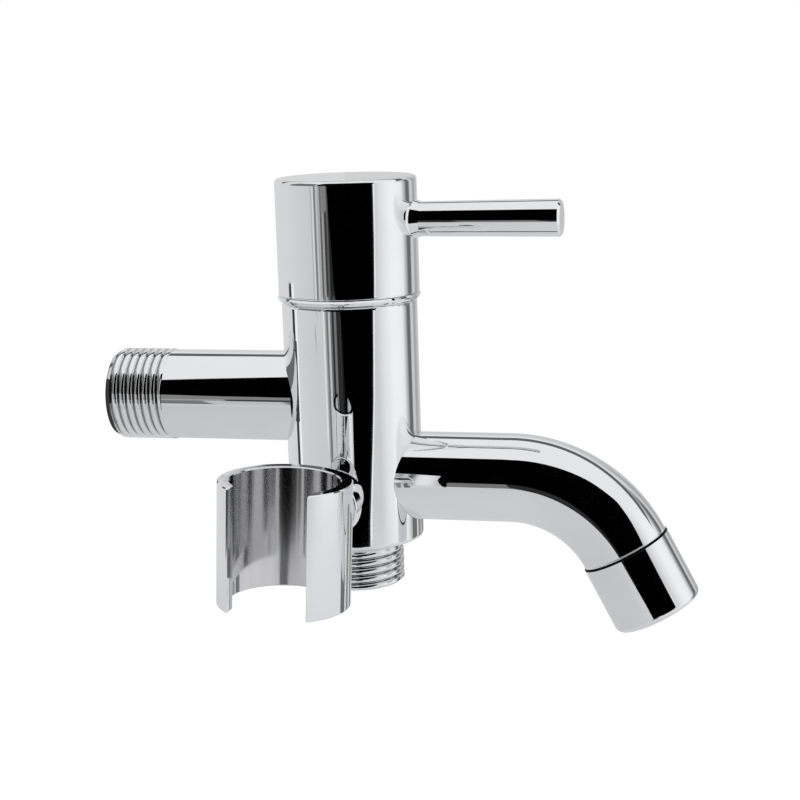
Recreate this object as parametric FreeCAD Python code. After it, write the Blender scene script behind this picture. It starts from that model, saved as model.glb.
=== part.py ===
import FreeCAD, Part
import math
import os

from FreeCAD import Placement, Rotation, Vector

# A wall tap with a spout on the right, a hose outlet underneath and a holder for a hand sprayer.
# Sizes are in millimetres. The origin is the middle of the inlet's open end. +X runs from the wall
# to the spout and +Z is up.

# G 1/2 pipe thread, cut on the inlet and on the hose outlet
thread_r = 10.35
thread_pitch = 1.814
thread_depth = 1.162
thread_flank = 0.605
inlet_turns = 7
inlet_lead = 0.75
inlet_end_r = 9.5
outlet_turns = 5

# body
body_x = 55.5
body_r = 15.0
body_bottom_z = -31.9
body_top_z = 22.15
body_top_round = 0.9
body_bottom_round = 1.0
joint_depth = 1.5

# inlet tube and its waterway
inlet_tube_r = 10.15
inlet_bore_r = 7.5
inlet_bore_end = 2.0

# spout
spout_z = -17.7
spout_r = 9.8
spout_wall = 1.7
spout_straight = 35.7
spout_bend_r = 28.1
spout_bend_deg = 62.6
spigot_r = 8.95
spigot_length = 5.0

# nozzle and the aerator in it
nozzle_r = 10.1
nozzle_length = 16.1
nozzle_joint_gap = 0.35
nozzle_end_round = 1.4
nozzle_lip = 1.7
nozzle_lip_height = 1.2
aerator_flange_height = 1.6
aerator_core_r = 7.0
aerator_vane_count = 6
aerator_vane_width = 1.4
screen_thickness = 0.5
screen_hole_r = 0.55
screen_hole_step = 1.9
aerator_washer_height = 1.6

# hose outlet
outlet_length = 10.4
outlet_neck = 1.2
outlet_neck_r = 9.4
outlet_bore_r = 6.0
outlet_key_width = 13.0
outlet_key_depth = 7.0
outlet_spigot_r = 8.4
outlet_spigot_length = 3.6
outlet_seal_height = 1.2
hose_chamber_height = 2.0

# cartridge
port_r = 2.7
port_ring_r = 6.5
seat_z = 9.2
cartridge_r = 11.5
cartridge_height = 11.0
cartridge_step_r = 10.6
cartridge_step_height = 6.6
cartridge_wall = 2.1
cartridge_neck_r = 7.5
cartridge_neck_height = 5.6
shoulder_height = 2.0
seal_height = 1.2
disc_height = 2.8
disc_r = 9.1
disc_recess_deg = 184.0
disc_recess_depth = 1.5
housing_ring_r = 0.7
housing_ring_up = 2.6

# spindle
spindle_flange_r = 8.8
spindle_flange_height = 2.4
spindle_r = 5.0
spindle_top_r = 4.2
spindle_shoulder_up = 28.4
spindle_height = 34.2
spindle_flat = 0.8
dog_r = 1.2
dog_length = 1.4
spindle_ring_r = 0.5
spindle_ring_up = 16.6

# nut that holds the cartridge down
nut_wall = 2.0
nut_sink = 0.15
nut_slot_width = 2.6
nut_slot_depth = 1.6

# handle
cap_r = 15.6
cap_gap = 0.3
cap_height = 25.4
cap_edge_round = 0.9
cap_skirt_wall = 2.0
cap_cavity_height = 5.2
skirt_ring_proud = 0.25
skirt_ring_cover = 2.6
skirt_ring_height = 1.15
skirt_ring_round = 0.5
lever_z = 39.6
lever_length = 32.1
lever_root_r = 3.8
lever_tip_r = 4.05
lever_flare_r = 4.5
lever_flare_length = 1.3
lever_seat_depth = 1.6
lever_tip_chamfer = 0.5
stud_r = 2.5
stud_in_lever = 9.0

# sprayer holder, turned a little on its pivot
holder_turn = 3.2
holder_r = 13.37
holder_wall = 2.49
holder_mouth_width = 16.1
holder_mouth_turn = -1.8
holder_above_pivot = 13.05
holder_height = 25.15
holder_edge = 0.25
boss_z = -19.3
boss_root_r = 5.5
boss_stand = 11.0
boss_head_r = 7.2
boss_head_length = 4.5
boss_edge = 0.5
pivot_r = 4.0
pivot_neck = 14.53
pivot_depth = 4.8
pivot_end_gap = 0.5
pivot_collar_r = 5.5
groove_width = 1.7
groove_depth = 0.8
groove_from_front = 1.25
washer_height = 0.6
grub_r = 0.75
grub_recess = 1.0

# clearances
running_gap = 0.05
seat_gap = 0.04
cartridge_gap = 0.1
bond_gap = 0.03
film = 0.02
cut_over = 1.0

# sizes that follow
thread_root_r = thread_r - thread_depth
crest_flat = (thread_pitch - 2 * thread_flank) / 2
body_axis = Vector(body_x, 0, 0)
up = Vector(0, 0, 1)
down = Vector(0, 0, -1)
along = Vector(1, 0, 0)
cap_bottom_z = body_top_z + skirt_ring_height + cap_gap
cap_top_z = cap_bottom_z + cap_height
outlet_end_z = body_bottom_z - outlet_length
cartridge_z = seat_z + seal_height
housing_cavity_r = cartridge_r - cartridge_wall
fixed_disc_top = cartridge_z + disc_height
moving_disc_z = fixed_disc_top + film
flange_z = moving_disc_z + disc_height + film
flange_top = flange_z + spindle_flange_height
shoulder_z = cartridge_z + cartridge_height - shoulder_height
spindle_washer_z = flange_top + running_gap
spindle_bore_r = spindle_r + running_gap
bore_r = cartridge_r + cartridge_gap
nut_z = cartridge_z + cartridge_step_height
nut_height = body_top_z - nut_sink - nut_z
spout_bore_r = spout_r - spout_wall
nut_r = cartridge_step_r + nut_wall
skirt_ring_r = cap_r + skirt_ring_proud
boss_front = body_r + boss_stand
pivot_root = body_r - pivot_depth
holder_reach = boss_front + pivot_neck + holder_r


def rod(radius, length, base, direction=up):
    return Part.makeCylinder(radius, length, base, direction)


def turned(profile, base=Vector(0, 0, 0), direction=up):
    """Solid of revolution from (radius, height) points, set on base along direction."""
    points = [Vector(r, 0, h) for r, h in profile]
    face = Part.Face(Part.makePolygon(points + points[:1]))
    solid = face.revolve(Vector(0, 0, 0), up, 360)
    solid.Placement = Placement(base, Rotation(up, direction))
    return solid


def ring(section_r, middle_r, base):
    return Part.makeTorus(middle_r, section_r, base, up)


def round_rims(shape, height, radius, size):
    """Round the full circles of one radius at one height."""
    rims = []
    for edge in shape.Edges:
        curve = edge.Curve
        if not isinstance(curve, Part.Circle) or abs(curve.Radius - radius) > 0.001:
            continue
        if abs(curve.Center.z - height) < 0.001:
            rims.append(edge)
    return shape.makeFillet(size, rims)


def thread_profile(turns, start):
    """(radius, height) points up a thread, from its free end at height start."""
    points = []
    for turn in range(turns):
        foot = start + turn * thread_pitch
        crest = foot + thread_flank
        points += [(thread_root_r, foot), (thread_r, crest), (thread_r, crest + crest_flat)]
        points.append((thread_root_r, crest + crest_flat + thread_flank))
    return points


def at_port(degrees):
    angle = math.radians(degrees)
    return Vector(body_x + port_ring_r * math.cos(angle), port_ring_r * math.sin(angle), 0)


def inlet_port():
    return at_port(180)


def spout_port():
    return at_port(60)


def hose_port():
    return at_port(-60)


def port_holes(low, high):
    holes = []
    for port in (inlet_port(), spout_port(), hose_port()):
        holes.append(rod(port_r, high - low, port + Vector(0, 0, low)))
    return holes


def inner_body_skin(gap=0.0):
    """The round face, set in from the outside of the body, that the tubes are coped to."""
    low = body_bottom_z - cut_over
    return rod(body_r - joint_depth + gap, body_top_z - low + cut_over, Vector(body_x, 0, low))


def place_holder(shape, turn=0.0):
    """Move a shape from the pivot's frame, where -Y points away from the body."""
    turned_about = Rotation(Vector(0, 1, 0), turn)
    shape.Placement = Placement(Vector(body_x, 0, boss_z), turned_about).multiply(shape.Placement)
    return shape


def outward(distance):
    return Vector(0, -distance, 0)


def boss_bore():
    bore = rod(pivot_r + running_gap, holder_reach, outward(pivot_root), Vector(0, -1, 0))
    return place_holder(bore)


def body():
    height = body_top_z - body_bottom_z
    shape = rod(body_r, height, Vector(body_x, 0, body_bottom_z))
    shape = round_rims(shape, body_top_z, body_r, body_top_round)
    shape = round_rims(shape, body_bottom_z, body_r, body_bottom_round)
    shape = shape.cut(rod(bore_r, body_top_z, Vector(body_x, 0, seat_z)))
    shape = shape.cut(rod(nut_r + seat_gap, body_top_z, Vector(body_x, 0, nut_z)))
    for pocket_r, direction, z in ((inlet_tube_r, -1, 0), (spout_r, 1, spout_z)):
        pocket = rod(pocket_r + bond_gap, 2 * body_r, Vector(body_x, 0, z), along * direction)
        shape = shape.cut(pocket.cut(inner_body_skin()))
    inlet_way = rod(inlet_bore_r, body_x - inlet_bore_end, Vector(0, 0, 0), along)
    inlet_drop = rod(port_r, seat_z + cut_over, inlet_port())
    spout_drop = rod(port_r, seat_z - spout_z + cut_over, spout_port() + Vector(0, 0, spout_z))
    spout_cross = rod(port_r, body_r, spout_port() + Vector(0, 0, spout_z), along)
    spout_way = rod(spout_bore_r, body_r, Vector(body_x + body_r / 2, 0, spout_z), along)
    hose_seat = outlet_spigot_length + outlet_seal_height
    chamber_z = body_bottom_z + hose_seat
    hose_drop = rod(port_r, seat_z - chamber_z + cut_over, hose_port() + Vector(0, 0, chamber_z))
    hose_chamber = rod(outlet_bore_r, hose_chamber_height, Vector(body_x, 0, chamber_z))
    hose_way = rod(outlet_spigot_r + seat_gap, hose_seat + cut_over,
                   Vector(body_x, 0, body_bottom_z - cut_over))
    ways = (inlet_way, inlet_drop, spout_drop, spout_cross, spout_way, hose_drop, hose_chamber, hose_way)
    shape = shape.cut(list(ways))
    return shape.cut(boss_bore())


def inlet_tube():
    thread = thread_profile(inlet_turns, inlet_lead)
    shoulder = thread[-1][1] + inlet_tube_r - thread_root_r
    profile = [(inlet_bore_r, 0), (inlet_end_r, 0)] + thread[1:]
    profile += [(inlet_tube_r, shoulder), (inlet_tube_r, body_x), (inlet_bore_r, body_x)]
    shape = turned(profile, Vector(0, 0, 0), along)
    return shape.cut(inner_body_skin(bond_gap))


def spout_end():
    """The centre of the spout's joint with the nozzle, and the way the water leaves there."""
    angle = math.radians(spout_bend_deg)
    reach = body_x + spout_straight + spout_bend_r * math.sin(angle)
    drop = spout_z - spout_bend_r * (1 - math.cos(angle))
    return Vector(reach, 0, drop), Vector(math.cos(angle), 0, -math.sin(angle))


def bent_rod(radius):
    start = Vector(body_x, 0, spout_z)
    corner = start + along * spout_straight
    straight = rod(radius, spout_straight, start, along)
    disc = Part.Face(Part.Wire(Part.makeCircle(radius, corner, along)))
    bend = disc.revolve(corner + down * spout_bend_r, Vector(0, 1, 0), spout_bend_deg)
    return straight.fuse(bend)


def spout_tube():
    joint, way = spout_end()
    spigot = rod(spigot_r, spigot_length, joint, way)
    outer = bent_rod(spout_r).fuse(spigot)
    bore = bent_rod(spout_bore_r).fuse(rod(spout_bore_r, spigot_length + cut_over, joint, way))
    return outer.cut(bore).cut(inner_body_skin(bond_gap)).removeSplitter()


def nozzle_frame(shape):
    joint, way = spout_end()
    shape.Placement = Placement(joint, Rotation(up, way)).multiply(shape.Placement)
    return shape


def aerator_top():
    return spigot_length + aerator_washer_height


def nozzle():
    inner_r = spigot_r + seat_gap
    lip_r = inner_r - nozzle_lip
    lip_z = nozzle_length - nozzle_lip_height
    profile = [(inner_r, nozzle_joint_gap), (nozzle_r, nozzle_joint_gap), (nozzle_r, nozzle_length)]
    profile += [(lip_r, nozzle_length), (lip_r, lip_z), (inner_r, lip_z)]
    shape = round_rims(turned(profile), nozzle_length, nozzle_r, nozzle_end_round)
    return nozzle_frame(shape)


def aerator_washer():
    profile = [(spout_bore_r, spigot_length), (spigot_r, spigot_length)]
    profile += [(spigot_r, aerator_top()), (spout_bore_r, aerator_top())]
    return nozzle_frame(turned(profile))


def aerator_body():
    """A round cage with a flange at the top, and vanes across its mouth."""
    top = aerator_top()
    flange_end = top + aerator_flange_height
    end = nozzle_length - nozzle_lip_height
    mouth_r = aerator_core_r - nozzle_lip / 2
    profile = [(mouth_r, top + screen_thickness), (spigot_r, top + screen_thickness)]
    profile += [(spigot_r, flange_end), (aerator_core_r, flange_end)]
    profile += [(aerator_core_r, end), (mouth_r, end)]
    shape = turned(profile)
    depth = end - flange_end
    for number in range(aerator_vane_count // 2):
        vane = Part.makeBox(2 * mouth_r + film, aerator_vane_width, depth / 2)
        vane.translate(Vector(-mouth_r - film / 2, -aerator_vane_width / 2, end - depth / 2))
        vane.rotate(Vector(0, 0, 0), up, number * 360 / aerator_vane_count)
        shape = shape.fuse(vane)
    return nozzle_frame(shape.removeSplitter())


def aerator_screen():
    shape = rod(spigot_r, screen_thickness, Vector(0, 0, aerator_top()))
    limit = spout_bore_r - screen_hole_step / 2
    rows = int(limit / screen_hole_step)
    holes = []
    for row in range(-rows, rows + 1):
        for column in range(-rows, rows + 1):
            spot = Vector(row * screen_hole_step, column * screen_hole_step, aerator_top() - cut_over)
            if math.hypot(spot.x, spot.y) < limit:
                holes.append(rod(screen_hole_r, screen_thickness + 2 * cut_over, spot))
    return nozzle_frame(shape.cut(holes))


def outlet_nipple():
    top = outlet_length
    thread = thread_profile(outlet_turns, 0)
    neck_foot = top - outlet_neck
    profile = [(outlet_bore_r, 0)] + thread
    profile += [(thread_root_r, neck_foot), (outlet_neck_r, neck_foot), (outlet_neck_r, top)]
    profile += [(outlet_spigot_r, top), (outlet_spigot_r, top + outlet_spigot_length)]
    profile.append((outlet_bore_r, top + outlet_spigot_length))
    shape = turned(profile)
    corners = []
    for corner in range(6):
        angle = math.radians(60 * corner)
        corner_r = outlet_key_width / math.sqrt(3)
        corners.append(Vector(corner_r * math.cos(angle), corner_r * math.sin(angle), -cut_over))
    key = Part.Face(Part.makePolygon(corners + corners[:1]))
    shape = shape.cut(key.extrude(up * (outlet_key_depth + cut_over)))
    shape.translate(Vector(body_x, 0, outlet_end_z))
    return shape


def outlet_seal():
    low = body_bottom_z + outlet_spigot_length
    profile = [(outlet_bore_r, low), (outlet_spigot_r, low)]
    profile += [(outlet_spigot_r, low + outlet_seal_height), (outlet_bore_r, low + outlet_seal_height)]
    return turned(profile, body_axis)


def cartridge_seal():
    shape = rod(cartridge_r, seal_height, Vector(body_x, 0, seat_z))
    return shape.cut(port_holes(seat_z - cut_over, cartridge_z + cut_over))


def fixed_disc():
    shape = rod(disc_r, disc_height, Vector(body_x, 0, cartridge_z))
    return shape.cut(port_holes(cartridge_z - cut_over, fixed_disc_top + cut_over))


def dogs(radius, low, high):
    """Two pins that drive the moving disc, on the line across the ports."""
    pins = []
    for degrees in (90, 270):
        pins.append(rod(radius, high - low, at_port(degrees) + Vector(0, 0, low)))
    return pins


def moving_disc():
    """A disc with a curved recess underneath, which joins the inlet port to one outlet at a time."""
    shape = rod(disc_r, disc_height, Vector(body_x, 0, moving_disc_z))
    low = moving_disc_z - cut_over
    depth = disc_recess_depth + cut_over
    half = disc_recess_deg / 2
    outer = Part.makeCylinder(port_ring_r + port_r / 2, depth, Vector(body_x, 0, low), up, disc_recess_deg)
    inner = rod(port_ring_r - port_r / 2, depth, Vector(body_x, 0, low))
    recess = outer.cut(inner)
    recess.rotate(body_axis, up, 180 - half)
    top = moving_disc_z + disc_height
    return shape.cut(recess).cut(dogs(dog_r + running_gap, top - dog_length - running_gap, top + cut_over))


def spindle():
    top = cartridge_z + spindle_height
    neck_z = cartridge_z + spindle_ring_up
    groove_r = spindle_r - 2 * spindle_ring_r
    shoulder = cap_bottom_z + cap_cavity_height
    profile = [(0, flange_z), (spindle_flange_r, flange_z), (spindle_flange_r, flange_top)]
    profile += [(spindle_r, flange_top), (spindle_r, neck_z - spindle_ring_r)]
    profile += [(groove_r, neck_z - spindle_ring_r), (groove_r, neck_z + spindle_ring_r)]
    profile += [(spindle_r, neck_z + spindle_ring_r), (spindle_r, shoulder)]
    profile += [(spindle_top_r, shoulder), (spindle_top_r, top), (0, top)]
    shape = turned(profile, body_axis)
    shape = shape.fuse(dogs(dog_r, flange_z - film - dog_length, flange_z + cut_over))
    return shape.cut(spindle_flat_cut())


def spindle_flat_cut():
    """The flat that the lever's stud bears on."""
    flat_x = body_x + spindle_top_r - spindle_flat
    size = 2 * (stud_r + running_gap)
    return Part.makeBox(body_r, size, size, Vector(flat_x, -size / 2, lever_z - size / 2))


def spindle_washer():
    profile = [(spindle_bore_r, spindle_washer_z), (spindle_flange_r, spindle_washer_z)]
    profile += [(spindle_flange_r, shoulder_z), (spindle_bore_r, shoulder_z)]
    return turned(profile, body_axis)


def spindle_ring():
    middle = spindle_r - spindle_ring_r
    return ring(spindle_ring_r - film / 2, middle, Vector(body_x, 0, cartridge_z + spindle_ring_up))


def cartridge_housing():
    """An open cup over the discs, with a neck round the spindle and a groove for its ring."""
    top = cartridge_z + cartridge_height
    step = cartridge_z + cartridge_step_height
    low_groove = cartridge_z + housing_ring_up - housing_ring_r
    high_groove = low_groove + 2 * housing_ring_r
    groove_r = cartridge_r - 2 * housing_ring_r
    neck_top = top + cartridge_neck_height
    profile = [(housing_cavity_r, cartridge_z), (cartridge_r, cartridge_z), (cartridge_r, low_groove)]
    profile += [(groove_r, low_groove), (groove_r, high_groove), (cartridge_r, high_groove)]
    profile += [(cartridge_r, step), (cartridge_step_r, step), (cartridge_step_r, top)]
    profile += [(cartridge_neck_r, top), (cartridge_neck_r, neck_top), (spindle_bore_r, neck_top)]
    profile += [(spindle_bore_r, shoulder_z), (housing_cavity_r, shoulder_z)]
    return turned(profile, body_axis)


def housing_ring():
    middle = cartridge_r - housing_ring_r
    return ring(housing_ring_r - film / 2, middle, Vector(body_x, 0, cartridge_z + housing_ring_up))


def retaining_nut():
    inner = cartridge_step_r + seat_gap
    profile = [(inner, nut_z), (nut_r, nut_z), (nut_r, nut_z + nut_height), (inner, nut_z + nut_height)]
    shape = turned(profile, body_axis)
    slot_z = nut_z + nut_height - nut_slot_depth
    for across in ((2 * body_r, nut_slot_width), (nut_slot_width, 2 * body_r)):
        corner = Vector(body_x - across[0] / 2, -across[1] / 2, slot_z)
        shape = shape.cut(Part.makeBox(across[0], across[1], body_r, corner))
    return shape


def skirt_ring():
    inner = nut_r - skirt_ring_cover
    top = body_top_z + skirt_ring_height
    profile = [(inner, body_top_z), (skirt_ring_r, body_top_z), (skirt_ring_r, top), (inner, top)]
    shape = round_rims(turned(profile), top, skirt_ring_r, skirt_ring_round)
    shape = round_rims(shape, body_top_z, skirt_ring_r, skirt_ring_round)
    shape.translate(body_axis)
    return shape


def handle_cap():
    skirt_r = cap_r - cap_skirt_wall
    ceiling = cap_bottom_z + cap_cavity_height
    spindle_top = cartridge_z + spindle_height + running_gap
    hub_r = spindle_top_r + seat_gap
    profile = [(skirt_r, cap_bottom_z), (cap_r, cap_bottom_z), (cap_r, cap_top_z), (0, cap_top_z)]
    profile += [(0, spindle_top), (hub_r, spindle_top), (hub_r, ceiling), (skirt_r, ceiling)]
    shape = round_rims(turned(profile), cap_top_z, cap_r, cap_edge_round)
    shape.translate(body_axis)
    seat = rod(lever_root_r + seat_gap, body_r, Vector(body_x + cap_r - lever_seat_depth, 0, lever_z), along)
    stud_hole = rod(stud_r + seat_gap, cap_r, Vector(body_x, 0, lever_z), along)
    return shape.cut(seat).cut(stud_hole)


def lever_rod():
    """A round bar that widens to its tip, with a small flare where it leaves the cap."""
    root = lever_seat_depth
    tip = root + lever_length
    edge = tip - lever_tip_chamfer
    flare_start = root - (cap_r - math.sqrt(cap_r ** 2 - lever_flare_r ** 2)) + film
    profile = [(stud_r + seat_gap, 0), (lever_root_r, 0), (lever_root_r, flare_start)]
    profile += [(lever_flare_r, flare_start), (lever_root_r, root + lever_flare_length)]
    profile += [(lever_tip_r, edge), (lever_tip_r - lever_tip_chamfer, tip), (0, tip)]
    profile += [(0, stud_in_lever + seat_gap), (stud_r + seat_gap, stud_in_lever + seat_gap)]
    shape = turned(profile, Vector(body_x + cap_r - lever_seat_depth, 0, lever_z), along)
    return shape.cut(cap_outside())


def cap_outside():
    """The cap's plain round outside, without the lever's seat, to trim the flare to it."""
    outside = rod(cap_r, cap_height, Vector(body_x, 0, cap_bottom_z))
    seat = rod(lever_root_r + seat_gap, body_r, Vector(body_x + cap_r - lever_seat_depth, 0, lever_z), along)
    return outside.cut(seat)


def lever_stud():
    start = body_x + spindle_top_r - spindle_flat + film
    end = body_x + cap_r - lever_seat_depth + stud_in_lever
    return rod(stud_r, end - start, Vector(start, 0, lever_z), along)


def holder_boss():
    """A round boss with a wider head, coped to the body, with the pivot's bore and its grub screw's hole."""
    head = boss_front - boss_head_length
    profile = [(0, 0), (boss_root_r, 0), (boss_root_r, head), (boss_head_r, head), (boss_head_r, boss_front)]
    shape = turned(profile + [(0, boss_front)], Vector(0, 0, 0), Vector(0, -1, 0))
    rims = []
    for edge in shape.Edges:
        box = edge.BoundBox
        if box.XLength > 2 * boss_head_r - 0.001 and box.YLength < 0.001:
            rims.append(edge)
    shape = shape.makeFillet(boss_edge, rims)
    bore = rod(pivot_r + running_gap, boss_front + cut_over, outward(0), Vector(0, -1, 0))
    grub_spot = outward(boss_front - groove_from_front) + Vector(0, 0, -boss_head_r - cut_over)
    grub_hole = rod(grub_r + seat_gap, boss_head_r + cut_over, grub_spot)
    shape = place_holder(shape.cut(bore).cut(grub_hole))
    tap_height = body_top_z - body_bottom_z
    return shape.cut(rod(body_r + bond_gap, tap_height, Vector(body_x, 0, body_bottom_z)))


def holder_grub():
    """A small screw in the boss whose end sits in the pivot's groove, so the pivot turns but stays in."""
    tip = -(pivot_r - groove_depth) - running_gap
    length = boss_head_r - grub_recess + tip
    return place_holder(rod(grub_r, length, outward(boss_front - groove_from_front) + Vector(0, 0, tip - length)))


def holder_washer():
    profile = [(pivot_r + running_gap, boss_front + film), (pivot_collar_r, boss_front + film)]
    profile += [(pivot_collar_r, boss_front + washer_height), (pivot_r + running_gap, boss_front + washer_height)]
    return place_holder(turned(profile, Vector(0, 0, 0), Vector(0, -1, 0)))


def holder_pivot():
    """The shaft that the holder turns on, with a collar and a groove for the grub screw."""
    groove = boss_front - groove_from_front
    low = groove - groove_width / 2
    high = groove + groove_width / 2
    collar = boss_front + washer_height + film
    groove_r = pivot_r - groove_depth
    root = pivot_root + pivot_end_gap
    profile = [(0, root), (pivot_r, root), (pivot_r, low)]
    profile += [(groove_r, low), (groove_r, high), (pivot_r, high), (pivot_r, collar)]
    profile += [(pivot_collar_r, collar), (pivot_collar_r, holder_reach), (0, holder_reach)]
    shape = turned(profile, Vector(0, 0, 0), Vector(0, -1, 0))
    sleeve = rod(holder_r + bond_gap, 2 * holder_height, Vector(0, -holder_reach, -holder_height))
    return place_holder(shape.cut(sleeve), holder_turn)


def holder_clip():
    """A sleeve with a straight slot down its front, that a hand sprayer drops into."""
    low = holder_above_pivot - holder_height
    base = Vector(0, -holder_reach, low)
    sleeve = rod(holder_r, holder_height, base).cut(rod(holder_r - holder_wall, holder_height, base))
    mouth_corner = Vector(-holder_mouth_width / 2, -holder_reach - 2 * holder_r, low)
    mouth = Part.makeBox(holder_mouth_width, 2 * holder_r, holder_height, mouth_corner)
    mouth.rotate(Vector(0, -holder_reach, 0), up, holder_mouth_turn)
    shape = sleeve.cut(mouth)
    shape = shape.makeChamfer(holder_edge, shape.Edges)
    return place_holder(shape, holder_turn)


def main():
    os.makedirs("parts", exist_ok=True)
    makers = (body, inlet_tube, spout_tube, nozzle, aerator_washer, aerator_screen, aerator_body,
              outlet_nipple, outlet_seal, cartridge_seal, fixed_disc, moving_disc, cartridge_housing,
              housing_ring, spindle, spindle_ring, spindle_washer, retaining_nut, skirt_ring,
              handle_cap, lever_rod, lever_stud, holder_boss, holder_grub, holder_washer,
              holder_pivot, holder_clip)
    for maker in makers:
        shape = maker()
        shape.exportStep("parts/" + maker.__name__ + ".step")
        print(maker.__name__, len(shape.Solids), shape.isValid(), round(shape.Volume, 2))


main()
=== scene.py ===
import bpy, bmesh, math
from mathutils import Vector, Matrix


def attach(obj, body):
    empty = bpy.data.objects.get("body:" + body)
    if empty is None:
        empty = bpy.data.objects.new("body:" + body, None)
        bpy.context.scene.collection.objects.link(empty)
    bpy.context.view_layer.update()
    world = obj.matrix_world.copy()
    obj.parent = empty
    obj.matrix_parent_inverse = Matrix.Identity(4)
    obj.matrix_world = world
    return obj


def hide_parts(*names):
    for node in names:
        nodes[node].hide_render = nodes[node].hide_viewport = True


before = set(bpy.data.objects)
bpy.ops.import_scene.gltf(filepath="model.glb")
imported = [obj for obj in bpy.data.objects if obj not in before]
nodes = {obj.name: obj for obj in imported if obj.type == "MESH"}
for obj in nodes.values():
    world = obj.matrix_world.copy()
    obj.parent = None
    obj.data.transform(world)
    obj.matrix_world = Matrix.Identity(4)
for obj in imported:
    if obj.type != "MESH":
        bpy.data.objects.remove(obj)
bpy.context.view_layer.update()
scene = bpy.context.scene
scene.view_settings.view_transform = 'Standard'
bpy.ops.object.select_all(action='DESELECT')
bodyAxis = 0.0555  # X of the upright axis of body and handle
print("frame loaded")

# camera, fitted to the outlines of the tap
cameraSetup = {"place": (0.162591, -0.381369, 0.075260), "turn": (79.0693, 1.7393, 13.8319), "lens": 81.0,
               "sensorWidth": 36.0, "clipStart": 0.01}

bpy.ops.object.camera_add(location=cameraSetup["place"],
                          rotation=[math.radians(angle) for angle in cameraSetup["turn"]])
camera = bpy.context.object
camera.name = "photoCamera"
camera.data.lens = cameraSetup["lens"]
camera.data.sensor_width = cameraSetup["sensorWidth"]
camera.data.clip_start = cameraSetup["clipStart"]
scene.camera = camera
print("camera placed")


def activate(piece):
    bpy.ops.object.select_all(action='DESELECT')
    piece.select_set(True)
    bpy.context.view_layer.objects.active = piece


def enterEdit(piece, mode='VERT', action='DESELECT'):
    activate(piece)
    bpy.ops.object.mode_set(mode='EDIT')
    bpy.ops.mesh.select_mode(type=mode)
    bpy.ops.mesh.select_all(action=action)


def leaveEdit():
    bpy.ops.object.mode_set(mode='OBJECT')


def applyModifiers(piece):
    activate(piece)
    for modifier in list(piece.modifiers):
        bpy.ops.object.modifier_apply(modifier=modifier.name)


def addNode(tree, kind, values=None, **settings):
    # a shader node with its settings, and values by the names or numbers of its inputs
    node = tree.nodes.new(kind)
    for name, setting in settings.items():
        setattr(node, name, setting)
    for socket, value in (values or {}).items():
        node.inputs[socket].default_value = value
    return node


def linkNodes(tree, *pairs):
    for source, target in pairs:
        tree.links.new(source, target)


def emptyTree(owner):
    owner.use_nodes = True
    owner.node_tree.nodes.clear()
    return owner.node_tree


def fillRamp(ramp, greys, blue):
    # greys by a value that runs from the first to the last, with a little more blue
    first, last = greys[0][0], greys[-1][0]
    stops = ramp.color_ramp.elements
    for i, (value, grey) in enumerate(greys):
        place = (value - first) / (last - first)
        stop = stops[i] if i < 2 else stops.new(place)
        stop.position = place
        stop.color = (grey, grey, grey * blue, 1.0)


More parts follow.
